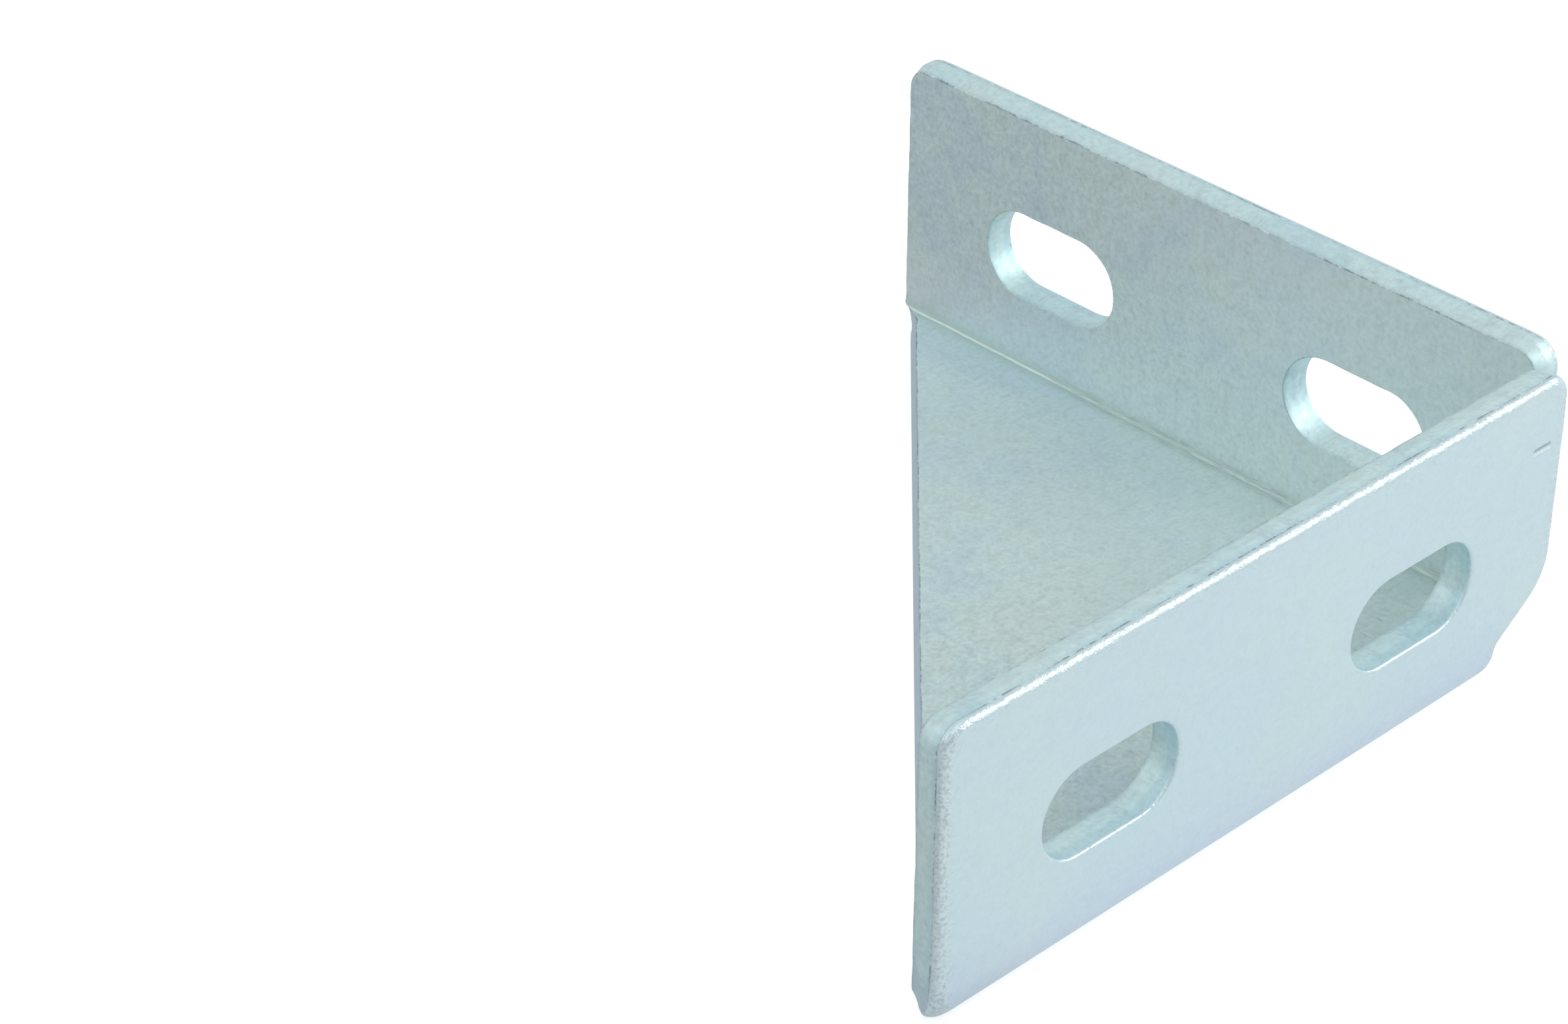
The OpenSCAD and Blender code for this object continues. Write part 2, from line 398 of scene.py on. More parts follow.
class Patch:
    """A grid of points on the blank, with their pattern coordinates and masks."""

    def __init__(self, points, pattern, rolled=0.0, sheared=0.0, inner=0.0, seam=0.0, flip=False):
        shape = points.shape[:2]
        self.points, self.pattern, self.flip = points, pattern, flip
        self.masks = [np.array(np.broadcast_to(m, shape), float)
                      for m in (rolled, sheared, inner, seam)]
        self.rolled, self.sheared, self.inner, self.seam = self.masks

    def swapped(self):
        """The same patch on the other leg, where u and v change places."""
        p = Patch(self.points[..., [1, 0, 2]], self.pattern + [LEG_SHIFT, 0], *self.masks)
        p.flip = not self.flip
        return p


def coons(low, high, first, last):
    """Surface between four edges: the blend of the low and high edges, plus the blend of the
    first and last edges, less the blend of the four corners."""
    s = np.linspace(0, 1, len(low))[:, None, None]
    t = np.linspace(0, 1, len(first))[None, :, None]
    grid = ((1 - t) * low[:, None] + t * high[:, None] + (1 - s) * first + s * last
            - (1 - s) * (1 - t) * low[0] - s * (1 - t) * low[-1]
            - (1 - s) * t * high[0] - s * t * high[-1])
    grid[:, 0], grid[:, -1], grid[0], grid[-1] = low, high, first, last
    return grid


def face(s, grid, inner, flip=False):
    """A patch of the outer or the inner face."""
    deep = np.full(grid.shape[:2] + (1,), s.thickness if inner else 0.0)
    return Patch(np.concatenate([grid, deep], 2), grid.copy(), inner=float(inner),
                 flip=flip != inner)


def leg_patches(s, gap, foot_round, foot_swell):
    """All patches of one leg, laid out as the front leg, and the edges that the web meets. The
    face is cut into five columns and three rows between the outline and the fold's foot; each
    slot has a ring of its own in the middle row. The first upright line between columns is
    stretched near the foot, so that the grid beside the relief's inward corner doesn't fold."""
    box_u, box_v = s.slot_length / 2 + BOX_MARGIN, s.slot_width / 2 + BOX_MARGIN
    slots = (s.slot_near, s.leg - s.slot_end)
    columns = [c + side * box_u for c in slots for side in (-1, 1)]
    middle = flat(s, s.slot_rise)
    low, high = middle + box_v, middle - box_v
    points, left, run, swell, m = leg_outline(s, gap, foot_round, foot_swell, columns, low, high)
    section = edge_section(s, s.roll_width, s.roll_depth, s.torn, s.hold, s.hold_inner)
    patches = [edge_band(s, points, left, run, section, 1 + gap, swell=swell)]
    rings = [slot_outline(s, u, middle) for u in slots]
    slot_section = edge_section(s, s.roll_slot, 0.85 * s.roll_slot, s.torn_slot,
                                s.hold_slot, s.hold_slot_inner)
    for i, ring in enumerate(rings):
        rim = edge_band(s, *ring, slot_section, 11 + i, True)
        for mask, amount in ((rim.rolled, 0.3), (rim.seam, 0.6)):
            mask *= amount
        patches.append(rim)
    web_edges = []
    for inner in (False, True):
        q = points + left * (s.hold_inner if inner else s.hold)
        foot = [q[m[1]], (columns[0] + FOOT_LEAN, s.fold), (columns[1], s.fold),
                (columns[2], s.fold), (columns[3] - FOOT_LEAN, s.fold), q[m[12]]]
        nodes = [[np.array(p, float) for p in foot],
                 [q[m[2]], *[np.array([u, low]) for u in columns], q[m[11]]],
                 [q[m[3]], *[np.array([u, high]) for u in columns], q[m[10]]],
                 [q[i] for i in m[4:10]]]
        heel = [q[m[j + 1]:m[j + 2] + 1] for j in range(3)]
        free = [q[m[11 - j]:m[12 - j] + 1][::-1] for j in range(3)]
        across = [[line(nodes[j][i], nodes[j][i + 1], COLUMNS[i])[0] for i in range(5)]
                  for j in range(3)] + [[q[m[4 + i]:m[5 + i] + 1] for i in range(5)]]
        upright = [[heel[j], *[line(nodes[j][i], nodes[j + 1][i], ROWS[j])[0]
                               for i in range(1, 5)], free[j]] for j in range(3)]
        t = np.linspace(0, 1, ROWS[0] + 1)[:, None]
        upright[0][1] = nodes[0][1] + (nodes[1][1] - nodes[0][1]) * t * (1.7 - 0.7 * t)
        for j in range(3):
            for i in range(5):
                edges = across[j][i], across[j + 1][i], upright[j][i], upright[j][i + 1]
                if j == 1 and i in (1, 3):
                    ring, ring_left, _ = rings[i // 2]
                    near = ring + ring_left * (s.hold_slot_inner if inner else s.hold_slot)
                    far = np.vstack([edges[0][:-1], edges[3][:-1], edges[1][:0:-1],
                                     edges[2][::-1]])
                    t = np.linspace(0, 1, RING + 1)[None, :, None]
                    patches.append(face(s, near[:, None] * (1 - t) + far[:, None] * t, inner,
                                        True))
                else:
                    patches.append(face(s, coons(*edges), inner))
        web_edges.append((np.vstack([a[:-1] for a in across[0][:-1]] + [across[0][-1]]),
                          q[:m[1] + 1], q[m[12]:]))
    return patches, web_edges


def bracket_patches(s):
    """Both legs and the web between them, whose patch runs from the front fold's foot to the
    side fold's foot."""
    front, front_web = leg_patches(s, s.front_gap, s.front_foot, s.front_swell)
    side, side_web = leg_patches(s, s.side_gap, s.side_foot, s.side_swell)
    patches = front + [p.swapped() for p in side]
    for inner, (a, b) in enumerate(zip(front_web, side_web)):
        low, high = a[0], b[0][:, ::-1]
        first = np.vstack([a[1][::-1], b[1][1:, ::-1]])
        last = np.vstack([a[2], b[2][:-1, ::-1][::-1]])
        patches.append(face(s, coons(low, high, first, last), bool(inner), True))
    return patches


def lean(s, w, depth):
    """Folding one way. Past the fold's foot the blank turns a quarter circle and then stands
    upright: the angle is the distance past the foot over the middle radius, the place is the
    fold's radius less the point's own radius times the sine of the angle, and the rise is the
    same with the cosine. Toward the inner face, where the tool pressed into the corner, both are
    raised to a power below one, which makes the arc squarer."""
    past = s.fold - w
    angle = np.clip(past / s.middle, 0, math.pi / 2)
    own = s.fold - depth
    raised = 1 - 0.5 * (depth / s.thickness) ** 2
    place = s.fold - own * np.sin(angle) ** raised - np.minimum(past, 0)
    rise = s.fold - own * np.cos(angle) ** raised + np.maximum(past - s.bend, 0)
    return place, rise, np.sin(angle * 2)


def folded(s, points):
    """Blank points folded up into the bracket, in metres in the part's frame, and how much of
    the bend each one lies in. The front flange is the part of the blank where v is less than u
    and less than the fold's foot; the side flange is the same with u and v changed round."""
    u, v, depth = points.T
    v_place, v_rise, v_bend = lean(s, np.where(v < u, v, s.fold), depth)
    u_place, u_rise, u_bend = lean(s, np.where(u < v, u, s.fold), depth)
    x = np.where((u < v) & (u < s.fold), u_place, u)
    y = np.where((v < u) & (v < s.fold), v_place, v)
    z = v_rise + u_rise - depth
    half = s.leg / 2
    return np.stack([half - x, y - half, z], 1) / 1000, np.maximum(u_bend, v_bend)


def grid_quads(rows, cols, start, flip):
    """Four-sided faces of a grid of points numbered row by row."""
    n = start + np.arange(rows * cols).reshape(rows, cols)
    quads = np.stack([n[:-1, :-1], n[1:, :-1], n[1:, 1:], n[:-1, 1:]], -1).reshape(-1, 4)
    return quads if flip else quads[:, ::-1]


def sheet_mesh(s, name):
    """The patches made one closed mesh, with a pattern map and masks for the finish."""
    patches = bracket_patches(s)
    points = np.vstack([p.points.reshape(-1, 3) for p in patches])
    places, bend = folded(s, points)
    starts = np.cumsum([0] + [p.points.shape[0] * p.points.shape[1] for p in patches])
    quads = np.vstack([grid_quads(*p.points.shape[:2], starts[i], p.flip)
                       for i, p in enumerate(patches)])
    mesh = bpy.data.meshes.new(name)
    mesh.from_pydata(places.tolist(), [], quads.tolist())
    pattern = np.vstack([p.pattern.reshape(-1, 2) for p in patches]) / PATTERN_UNIT
    layer = mesh.uv_layers.new(name="Pattern")
    layer.data.foreach_set("uv", pattern[quads.reshape(-1)].astype(np.float32).reshape(-1))
    masks = [np.concatenate([p.masks[i].reshape(-1) for p in patches]) for i in range(4)] + [bend]
    for mask, values in zip(("rolled", "sheared", "inner", "seam", "bend"), masks):
        mesh.attributes.new(mask, "FLOAT", "POINT").data.foreach_set(
            "value", values.astype(np.float32))
    cut = masks[1][quads].mean(1) > 0.45
    for _ in range(2):
        mesh.materials.append(None)
    mesh.polygons.foreach_set("material_index", cut.astype(np.int32))
    mesh.polygons.foreach_set("use_smooth", np.ones(len(quads), bool))
    bm = bmesh.new()
    bm.from_mesh(mesh)
    bmesh.ops.remove_doubles(bm, verts=bm.verts, dist=WELD)
    open_edges = sum(not e.is_manifold for e in bm.edges)
    bm.to_mesh(mesh)
    volume = bm.calc_volume(signed=True)
    bm.free()
    if open_edges or volume <= 0:
        raise RuntimeError(f"the folded sheet isn't closed: {open_edges} open edges, {volume} m3")
    mesh.update()
    return mesh


# Finish

WHITE, BLACK = (1, 1, 1, 1), (0, 0, 0, 1)


def group(name, inputs, outputs):
    """A new shader node group with named sockets. Each input is (name, kind, default)."""
    tree = bpy.data.node_groups.new(name, "ShaderNodeTree")
    kinds = {"value": "NodeSocketFloat", "colour": "NodeSocketColor", "vector": "NodeSocketVector"}
    for label, kind, default in inputs:
        socket = tree.interface.new_socket(label, in_out="INPUT", socket_type=kinds[kind])
        if default is not None:
            socket.default_value = default
    for label, kind in outputs:
        tree.interface.new_socket(label, in_out="OUTPUT", socket_type=kinds[kind])
    return Nodes(tree)


def empty_tree(data):
    """The node tree of a material or a world, made empty."""
    data.use_nodes = True
    data.node_tree.nodes.clear()
    return Nodes(data.node_tree)


class Nodes:
    """Short ways to add linked nodes to a tree."""

    def __init__(self, tree):
        self.tree = tree

    def put(self, socket, value):
        """Link the value to the socket, or set it there. None leaves the socket as it is."""
        if isinstance(value, bpy.types.NodeSocket):
            self.tree.links.new(value, socket)
        elif value is not None:
            socket.default_value = value

    def add(self, kind, settings=(), **inputs):
        """A node with its inputs given by name, with an underscore for each space."""
        node = self.tree.nodes.new(kind)
        for key, value in dict(settings).items():
            setattr(node, key, value)
        for key, value in inputs.items():
            self.put(node.inputs[key.replace("_", " ")], value)
        return node

    def row(self, kind, values, settings=()):
        """A node with its first inputs given in order."""
        node = self.add(kind, settings)
        for i, value in enumerate(values):
            self.put(node.inputs[i], value)
        return node

    def math(self, operation, *values):
        return self.row("ShaderNodeMath", values, {"operation": operation}).outputs[0]

    def times(self, a, b):
        return self.math("MULTIPLY", a, b)

    def plus(self, a, b):
        return self.math("ADD", a, b)

    def minus(self, a, b):
        return self.math("SUBTRACT", a, b)

    def total(self, *terms):
        """The sum of the terms, each of them a value and what multiplies it."""
        result = self.times(*terms[0])
        for value, amount in terms[1:]:
            result = self.plus(result, self.times(value, amount))
        return result

    def mix(self, factor, a, b):
        node = self.add("ShaderNodeMix", {"data_type": "RGBA", "clamp_factor": True})
        for i, value in ((0, factor), (6, a), (7, b)):
            self.put(node.inputs[i], value)
        return node.outputs[2]

    def layered(self, base, *layers):
        """The base colour with each layer's tone mixed in, by its mask times its amount."""
        for mask, amount, tone in layers:
            base = self.mix(self.times(mask, amount), base, wide(tone))
        return base

    def ramp(self, value, low, high, to_low=0.0, to_high=1.0):
        """A smooth step from one number where the value is low to another where it is high."""
        return self.row("ShaderNodeMapRange", (value, low, high, to_low, to_high),
                        {"interpolation_type": "SMOOTHSTEP"}).outputs[0]

    def noise(self, vector, scale, detail, rough):
        """Noise with the scale's number of waves to each unit of the vector."""
        return self.add("ShaderNodeTexNoise", Vector=vector, Scale=scale, Detail=detail,
                        Roughness=rough).outputs["Fac"]

    def stretch(self, vector, scale, turn=(0, 0, 0)):
        return self.add("ShaderNodeMapping", Vector=vector, Scale=scale, Rotation=turn).outputs[0]

    def mask(self, name):
        return self.add("ShaderNodeAttribute", {"attribute_name": name}).outputs["Fac"]

    def axes(self, vector):
        return self.add("ShaderNodeSeparateXYZ", Vector=vector).outputs

    def start(self):
        """The group's inputs by name."""
        return {s.name: s for s in self.tree.nodes.new("NodeGroupInput").outputs if s.name}

    def finish(self, **outputs):
        """Link the group's outputs and give its tree."""
        self.add("NodeGroupOutput", **outputs)
        return self.tree

    def use(self, tree, **inputs):
        return self.add("ShaderNodeGroup", {"node_tree": tree}, **inputs).outputs


def film_group():
    """Cloudy colour of the passivated film, its fine specks, and the grain of the plating."""
    g = group("Passivated film",
              [("Place", "vector", None), ("Zinc", "colour", WHITE), ("Green", "colour", WHITE),
               ("Blue", "colour", WHITE), ("Soil", "colour", BLACK), ("Clouds", "value", 1.0),
               ("Specks", "value", 0.5)],
              [("Colour", "colour"), ("Roughness", "value"), ("Height", "value")])
    i = g.start()
    broad, patchy = g.noise(i["Place"], 62, 2, 0.5), g.noise(i["Place"], 190, 3, 0.6)
    blot, grain = g.noise(i["Place"], 520, 3, 0.6), g.noise(i["Place"], 1500, 3, 0.6)
    drift = g.total((broad, 0.65), (patchy, 0.35))
    base = g.mix(g.times(g.ramp(drift, 0.48, 0.60), i["Clouds"]), i["Zinc"], i["Green"])
    base = g.mix(g.times(g.ramp(drift, 0.50, 0.38), i["Clouds"]), base, i["Blue"])
    fleck = g.total((g.ramp(grain, 0.30, 0.74), 0.22), (g.ramp(blot, 0.40, 0.70), 0.12),
                    (g.ramp(grain, 0.62, 0.70), 0.07))
    base = g.mix(g.times(fleck, i["Specks"]), base, i["Soil"])
    return g.finish(Colour=base, Roughness=g.total((grain, 0.10), (patchy, 0.10)),
                    Height=g.total((grain, 0.6), (blot, 0.4)))


def rub_and_sheen_group():
    """Rough, pitted plating along a rolled edge: a mask with a ragged border, which whitens the
    edge partly as rubbed plating and partly as painted highlight, and its pits.
    """
    g = group("Rubbed edge", [("Place", "vector", None), ("Edge", "value", 0.0)],
              [("Mask", "value"), ("Dark", "value"), ("Height", "value")])
    i = g.start()
    pits, ragged = g.noise(i["Place"], 2400, 3, 0.7), g.noise(i["Place"], 900, 3, 0.65)
    edge = g.plus(i["Edge"], g.times(g.minus(ragged, 0.5), 1.6))
    rough = g.plus(g.times(pits, 0.7), ragged)
    return g.finish(Mask=g.ramp(edge, 0.3, 0.85),
                    Dark=g.times(g.ramp(pits, 0.40, 0.66), g.ramp(edge, 0.45, 0.95)),
                    Height=g.times(rough, g.ramp(edge, 0.1, 0.8)))


def score_group():
    """Fine lines that run across a cut edge, from the shear."""
    g = group("Shear lines", [("Pattern", "vector", None)],
              [("Line", "value"), ("Height", "value")])
    i = g.start()
    fine = g.noise(g.stretch(i["Pattern"], (260, 40, 1)), 1.0, 3, 0.6)
    broad = g.noise(g.stretch(i["Pattern"], (45, 9, 1)), 1.0, 2, 0.5)
    both = g.total((fine, 0.5), (broad, 0.5))
    return g.finish(Line=g.ramp(both, 0.5, 0.66), Height=both)


def line_group():
    """A thin dark line along an edge, broken up into dots and dashes, with bright dots in it."""
    g = group("Edge line", [("Place", "vector", None), ("Line", "value", 0.0)],
              [("Dark", "value"), ("Bright", "value")])
    i = g.start()
    dots, drift = g.noise(i["Place"], 950, 4, 0.75), g.noise(i["Place"], 140, 1, 0.5)
    worn = g.plus(i["Line"], g.times(g.minus(dots, 0.5), 3.0))
    dark = g.times(g.ramp(worn, 0.75, 1.15), g.ramp(drift, 0.36, 0.56, 0.3, 1.0))
    return g.finish(Dark=g.times(dark, g.ramp(i["Line"], 0, 0.3)),
                    Bright=g.times(g.ramp(i["Line"], 0.2, 0.8), g.ramp(dots, 0.42, 0.34)))


def drawn_group():
    """Marks along the inside of a fold: dark streaks where the press tool slid on the sheet, up to
    a place on the pattern, and past it a painted highlight, one bright crease along the fold's
    middle.
    Two soft dark lines of painted shade lie beside that middle all along, and a mask of painted
    shade covers the fold off the crease. The pattern's X runs along the fold and its Y across it."""
    g = group("Drawn streaks",
              [("Pattern", "vector", None), ("Bend", "value", 0.0), ("Inner", "value", 1.0)],
              [("Dark", "value"), ("Bright", "value"), ("Tint", "value"), ("Height", "value")])
    i = g.start()
    x, y, _ = g.axes(i["Pattern"])
    streak = g.noise(g.stretch(i["Pattern"], (34, 300, 1)), 1.0, 3, 0.7)
    streaked = g.ramp(x, 1.15, 1.07)
    drift = g.noise(g.stretch(i["Pattern"], (13, 0, 0)), 1.0, 3, 0.6)
    middle = g.plus(0.0215, g.times(drift, 0.015))
    off = g.math("ABSOLUTE", g.minus(y, middle))
    # Painted highlight: the bright crease along the fold's middle
    crease = g.times(g.ramp(off, 0.0042, 0.0012), g.minus(1.0, streaked))
    crease = g.times(crease, g.ramp(streak, 0.66, 0.40, 0.45, 1.0))
    dark = g.times(g.ramp(streak, 0.47, 0.60), streaked)
    dark = g.times(dark, g.ramp(off, 0.026, 0.012))
    # Painted shade: two soft dark lines beside the crease
    beside = g.times(g.ramp(off, 0.004, 0.007), g.ramp(off, 0.014, 0.009, 0, 0.5))
    height = g.times(streak, g.ramp(streaked, 0, 1, 0.3, 1.0))
    return g.finish(Dark=g.times(g.math("MAXIMUM", dark, beside), i["Inner"]),
                    Bright=g.times(crease, i["Inner"]),
                    # Painted shade over the fold, off the crease
                    Tint=g.times(i["Bend"], g.minus(1.0, crease)),
                    Height=g.times(height, i["Bend"]))


def nick_group():
    """Two short nicks side by side at a set place on the pattern, a dark one and a bright one."""
    g = group("Nicks", [("Pattern", "vector", None), ("Outer", "value", 1.0)],
              [("Dark", "value"), ("Bright", "value")])
    i = g.start()
    x, y, _ = g.axes(i["Pattern"])
    wobble = g.times(g.minus(g.noise(i["Pattern"], 700, 3, 0.7), 0.5), 0.009)
    along = g.times(g.ramp(x, 0.046, 0.048), g.ramp(x, 0.100, 0.094))

    def nick(level, half_width):
        off = g.math("ABSOLUTE", g.minus(g.plus(y, wobble), level))
        here = g.times(g.ramp(off, half_width, half_width * 0.35), along)
        return g.times(here, i["Outer"])

    return g.finish(Dark=nick(-0.2450, 0.0022), Bright=nick(-0.2392, 0.0034))


def scuff_group():
    """Short scuffs on the inner faces, round a point on the web beside the heel."""
    g = group("Scuffs", [("Place", "vector", None), ("Inner", "value", 1.0)], [("Dark", "value")])
    i = g.start()
    stroke = g.noise(g.stretch(i["Place"], (2300, 260, 1), (0, 0, 0.5)), 1.0, 2, 0.6)
    away = g.row("ShaderNodeVectorMath", (i["Place"], (0.030, -0.028, 0.004)),
                 {"operation": "DISTANCE"}).outputs["Value"]
    here = g.times(g.ramp(away, 0.015, 0.008), i["Inner"])
    return g.finish(Dark=g.times(g.ramp(stroke, 0.60, 0.68), here))


def wide(c):
    """A colour with a fourth number, its opacity."""
    return (*c, 1.0)


def new_material(name):
    """An empty material, with its Object coordinates and pattern map."""
    m = bpy.data.materials.new(name)
    n = empty_tree(m)
    place = n.add("ShaderNodeTexCoord").outputs["Object"]
    pattern = n.add("ShaderNodeUVMap", {"uv_map": "Pattern"}).outputs[0]
    return m, n, place, pattern


def metal(n, base, rough, height):
    """The shader itself: bare metal under its film, with the height as a bump."""
    bump = n.add("ShaderNodeBump", Height=height, Strength=0.5, Distance=0.0001)
    shader = n.add("ShaderNodeBsdfPrincipled", Base_Color=base, Roughness=rough, Metallic=0.78,
                   Normal=bump.outputs[0])
    n.add("ShaderNodeOutputMaterial", Surface=shader.outputs[0])


def plated_material(finish, groups):
    """Bright zinc with a light blue film, rough at the rolled edges and drawn at the folds. Low on
    the outer faces a painted reflection of the floor's shade makes it bluer and a little darker.
    On the inner faces painted light makes it lighter toward the side flange, and a painted shadow
    makes it a little darker low down by the front flange. The folds carry painted shade and a
    painted highlight on their crease, and the rolled edges are whitened partly as rubbed plating,
    partly as painted highlight."""
    m, n, place, pattern = new_material("Bright zinc plate")
    rolled, inner, bend, seam = (n.mask(x) for x in ("rolled", "inner", "bend", "seam"))
    x, y, z = n.axes(place)
    low = n.ramp(z, 0.020, 0.006)
    # Painted reflection: low on the outer faces, the floor's shade mirrored as a bluer, darker
    # colour
    foot = n.times(n.ramp(z, 0.013, 0.002), n.ramp(inner, 0.5, 0.0, 0, 0.8))
    # Painted light: the inner faces are lightened toward the side flange, low down and toward the
    # heel
    painted_corner_light = n.times(n.math("MAXIMUM", low, n.ramp(y, 0.030, -0.020)), inner)
    painted_corner_light = n.times(painted_corner_light, n.ramp(x, -0.01, 0.035, 0, 0.32))
    # Painted shadow: the inner faces are darker low down by the front flange, where its shadow
    # falls
    shade = n.times(n.times(n.ramp(y, -0.015, -0.040), low), inner)
    zinc = n.mix(n.ramp(inner, 0.2, 0.9), wide(finish.zinc), wide(finish.inside))
    zinc = n.mix(foot, zinc, wide(finish.base))
    film = n.use(groups["film"], Place=place, Zinc=zinc, Green=wide(finish.green),
                 Blue=wide(finish.blue), Soil=wide(finish.soil),
                 Clouds=n.ramp(inner, 0, 1, 0.25, 0.95), Specks=n.ramp(inner, 0, 1, 0.25, 1.0))
    rub = n.use(groups["rub"], Place=place, Edge=rolled)
    edge = n.use(groups["line"], Place=place, Line=seam)
    scuff = n.use(groups["scuff"], Place=place, Inner=inner)
    drawn = n.use(groups["drawn"], Pattern=pattern, Bend=n.times(bend, inner), Inner=inner)
    nick = n.use(groups["nick"], Pattern=pattern, Outer=n.ramp(inner, 0.5, 0.0))
    # Layers: painted light in the corner, painted shadow by the front flange, rubbed plating with
    # painted highlight on the rolled edges, pits, painted shade on the folds, tool streaks with
    # painted shade beside the crease, a painted highlight on the crease, edge lines, nicks and
    # scuffs
    base = n.layered(film["Colour"], (painted_corner_light, 1.0, finish.pale), (shade, 0.12, finish.soil),
                     (rub["Mask"], 0.36, finish.worn), (rub["Dark"], 0.36, finish.soil),
                     (drawn["Tint"], 0.9, finish.fold), (drawn["Dark"], 0.46, finish.soil),
                     (drawn["Bright"], 0.25, finish.worn), (edge["Dark"], 0.6, finish.soil),
                     (edge["Bright"], 0.6, finish.worn), (nick["Dark"], 0.6, finish.soil),
                     (nick["Bright"], 0.9, finish.worn), (scuff["Dark"], 0.35, finish.soil))
    rough = n.plus(film["Roughness"], n.ramp(inner, 0, 1, finish.gloss - 0.1, finish.gloss))
    height = n.total((film["Height"], 0.18), (rub["Height"], 1.9), (drawn["Height"], 0.8),
                     (drawn["Bright"], 0.4), (nick["Dark"], -0.8), (nick["Bright"], 1.0))
    metal(n, base, rough, height)
    return m


def cut_material(finish, groups):
    """The sheared edge under the same plating: greener, speckled and faintly lined across, with
    painted shade that makes it darker and bluer on the web's diagonal. Its rolled edge is whitened
    partly as rubbed plating, partly as painted highlight."""
    m, n, place, pattern = new_material("Zinc over the sheared edge")
    rolled, inner, seam = (n.mask(x) for x in ("rolled", "inner", "seam"))
    x, y, z = n.axes(place)
    smooth = n.mix(0.55, wide(finish.cut), wide(finish.teal))
    zinc = n.mix(n.ramp(inner, 0.30, 0.46), smooth, wide(finish.cut))
    film = n.use(groups["film"], Place=place, Zinc=zinc, Green=wide(finish.green),
                 Blue=wide(finish.teal), Soil=wide(finish.soil), Clouds=0.4, Specks=0.7)
    rub = n.use(groups["rub"], Place=place, Edge=rolled)
    edge = n.use(groups["line"], Place=place, Line=seam)
    score = n.use(groups["score"], Pattern=pattern)
    burr = n.ramp(inner, 0.84, 0.97)
    # Painted shade: the diagonal cut edge of the web is darker and bluer
    diagonal = n.times(n.ramp(n.minus(y, x), 0.0005, 0.0015), n.ramp(z, 0.010, 0.004))
    base = n.layered(film["Colour"], (diagonal, 0.75, finish.diagonal),
                     (rub["Mask"], 0.3, finish.worn), (score["Line"], 0.10, finish.soil),
                     (burr, 0.16, finish.soil), (edge["Dark"], 0.7, finish.soil),
                     (edge["Bright"], 0.7, finish.worn))
    rough = n.plus(film["Roughness"], finish.gloss + 0.05)
    metal(n, base, rough, n.total((film["Height"], 0.7), (score["Height"], 0.4)))
    return m


class BRACKET_OT_folded_sheet(bpy.types.Operator):
    """Cut the blank, fold it, plate it and put it in the CAD bracket's place"""

    bl_idname = "bracket.folded_sheet"
    bl_label = "Folded sheet"

    def execute(self, context):
        scene = context.scene
        s = blank_sizes(scene.bracket_sheet)
        mesh = sheet_mesh(s, "folded_sheet")
        groups = {"film": film_group(), "rub": rub_and_sheen_group(), "score": score_group(),
                  "line": line_group(), "drawn": drawn_group(), "nick": nick_group(),
                  "scuff": scuff_group()}
        mesh.materials[0] = plated_material(scene.bracket_finish, groups)
        mesh.materials[1] = cut_material(scene.bracket_finish, groups)
        piece = bpy.data.objects.new("folded_sheet", mesh)
        scene.collection.objects.link(piece)
        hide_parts("bracket")
        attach(piece, "root")
        return {"FINISHED"}


# Stage


def camera_axes(azimuth, elevation, roll):
    """Right, up and back of a camera turned round the object, raised and rolled, in degrees."""
    a, e, r = (math.radians(x) for x in (azimuth, elevation, roll))
    back = np.array([math.sin(a) * math.cos(e), -math.cos(a) * math.cos(e), math.sin(e)])
    right = unit(np.cross(-back, (0, 0, 1)))
    up = np.cross(right, -back)
    return (math.cos(r) * right + math.sin(r) * up, -math.sin(r) * right + math.cos(r) * up, back)


def placed(right, up, back, place):
    """The matrix of a camera or a lamp at a place, its back turned away from what it faces."""
    return Matrix([[right[i], up[i], back[i], place[i]] for i in range(3)] + [[0, 0, 0, 1]])


def lamp(scene, name, place, target, size, watts):
    """A square soft lamp at a place, turned to face the target."""
    data = bpy.data.lights.new(name, "AREA")
    data.shape, data.size, data.energy = "SQUARE", size, watts
    item = bpy.data.objects.new(name, data)
    back = unit(np.array(place, float) - np.array(target, float))
    right = unit(np.cross((0, 0, 1), back))
    item.matrix_world = placed(right, np.cross(back, right), back, place)
    scene.collection.objects.link(item)


def pale_floor(scene, tone):
    """A wide floor under the bracket that keeps its shadow and reads as white elsewhere. Mirrored
    in the plating it is mostly a bright card, dimmer past the web's diagonal than by the heel."""
    places = [(x, y, -FLOOR_DROP) for x in (-FLOOR_REACH, FLOOR_REACH)
              for y in (-FLOOR_REACH, FLOOR_REACH)]
    mesh = bpy.data.meshes.new("floor")
    mesh.from_pydata(places, [], [[0, 2, 3, 1]])
    floor = bpy.data.objects.new("floor", mesh)
    scene.collection.objects.link(floor)
    m = bpy.data.materials.new("Pale floor")
    n = empty_tree(m)
    path = n.add("ShaderNodeLightPath").outputs
    x, y, _ = n.axes(n.add("ShaderNodeTexCoord").outputs["Object"])
    bright = n.ramp(n.minus(x, y), -0.03, 0.03, 0.36, 0.86)
    mirrored = n.math("MAXIMUM", path["Is Glossy Ray"], path["Is Transmission Ray"])
    matt = n.add("ShaderNodeBsdfDiffuse", Color=wide(tone)).outputs[0]
    card = n.add("ShaderNodeEmission", Color=WHITE, Strength=bright).outputs[0]
    seen = n.row("ShaderNodeMixShader", (n.times(mirrored, 0.7), matt, card)).outputs[0]
    white = n.add("ShaderNodeEmission", Color=WHITE,
                  Strength=n.times(path["Is Camera Ray"], 0.45)).outputs[0]
    both = n.row("ShaderNodeAddShader", (seen, white)).outputs[0]
    n.add("ShaderNodeOutputMaterial", Surface=both)
    mesh.materials.append(m)


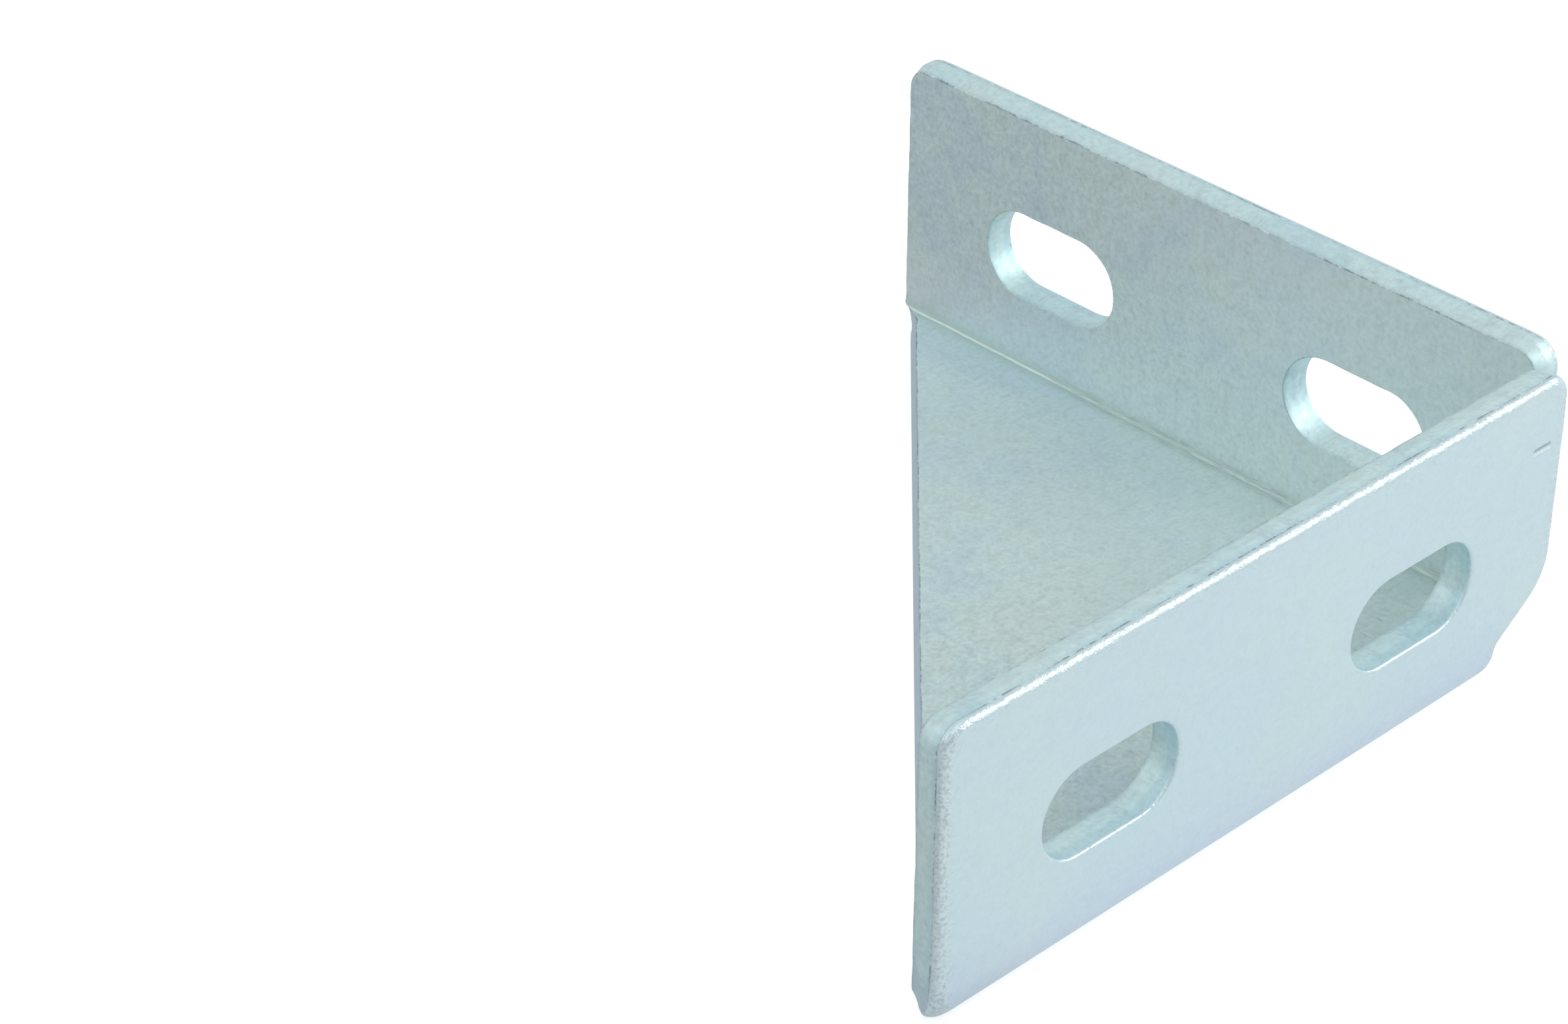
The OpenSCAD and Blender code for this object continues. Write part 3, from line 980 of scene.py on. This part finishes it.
def white_world(scene, strength):
    """Soft light all round, stronger from above and from +Y, seen as plain white by the camera."""
    world = bpy.data.worlds.new("Studio")
    n = empty_tree(world)
    path = n.add("ShaderNodeLightPath").outputs
    toward = n.add("ShaderNodeTexCoord").outputs["Generated"]
    side = n.row("ShaderNodeVectorMath", (toward, (0, 0.75, 0.65)),
                 {"operation": "DOT_PRODUCT"}).outputs["Value"]
    level = n.ramp(side, -0.6, 1.0, strength * 0.75, strength * 1.22)
    soft = n.add("ShaderNodeBackground", Color=WHITE, Strength=level).outputs[0]
    white = n.add("ShaderNodeBackground", Color=WHITE, Strength=1.0).outputs[0]
    both = n.row("ShaderNodeMixShader", (path["Is Camera Ray"], soft, white)).outputs[0]
    n.add("ShaderNodeOutputWorld", Surface=both)
    scene.world = world


class BRACKET_OT_stage(bpy.types.Operator):
    """Lay the floor, hang the lamps and place the camera"""

    bl_idname = "bracket.stage"
    bl_label = "Stage"

    def execute(self, context):
        scene = context.scene
        studio = scene.bracket_studio
        scene.view_settings.view_transform = "Standard"
        pale_floor(scene, studio.floor)
        white_world(scene, studio.sky)
        for name, where in LAMPS.items():
            lamp(scene, f"{name.capitalize()} lamp", *where, getattr(studio, name))
        axes = camera_axes(*CAMERA_TURN)
        place = np.array([LEG / 2, -LEG / 2, 0]) + CAMERA_PIVOT
        for axis, shift in zip(axes, CAMERA_SHIFT):
            place = place + shift * axis
        data = bpy.data.cameras.new("Camera")
        data.sensor_fit, data.sensor_width, data.lens = "HORIZONTAL", SENSOR, studio.lens
        data.clip_start, data.clip_end = 0.01, 20
        camera = bpy.data.objects.new("Camera", data)
        camera.matrix_world = placed(*axes, place)
        scene.collection.objects.link(camera)
        scene.camera = camera
        return {"FINISHED"}


# Panel and run


class BRACKET_PT_panel(bpy.types.Panel):
    """Lists the bracket's sizes, finish and stage"""

    bl_idname = "BRACKET_PT_panel"
    bl_label = "Bracket"
    bl_space_type = "VIEW_3D"
    bl_region_type = "UI"
    bl_category = "Bracket"

    def draw(self, context):
        scene = context.scene
        for group_name, operator in (("bracket_sheet", "bracket.folded_sheet"),
                                     ("bracket_finish", None),
                                     ("bracket_studio", "bracket.stage")):
            part = getattr(scene, group_name)
            box = self.layout.box()
            for name in part.__annotations__:
                box.prop(part, name)
            if operator:
                box.operator(operator)


GROUPS = {"bracket_sheet": BracketSheet, "bracket_finish": BracketFinish,
          "bracket_studio": BracketStudio}
CLASSES = (*GROUPS.values(), BRACKET_OT_folded_sheet, BRACKET_OT_stage, BRACKET_PT_panel)


def register():
    for c in CLASSES:
        bpy.utils.register_class(c)
    for name, kind in GROUPS.items():
        setattr(bpy.types.Scene, name, PointerProperty(type=kind))


def unregister():
    for name in GROUPS:
        delattr(bpy.types.Scene, name)
    for c in reversed(CLASSES):
        bpy.utils.unregister_class(c)


def main():
    register()
    bpy.ops.bracket.folded_sheet()
    bpy.ops.bracket.stage()


if __name__ == "__main__":
    main()
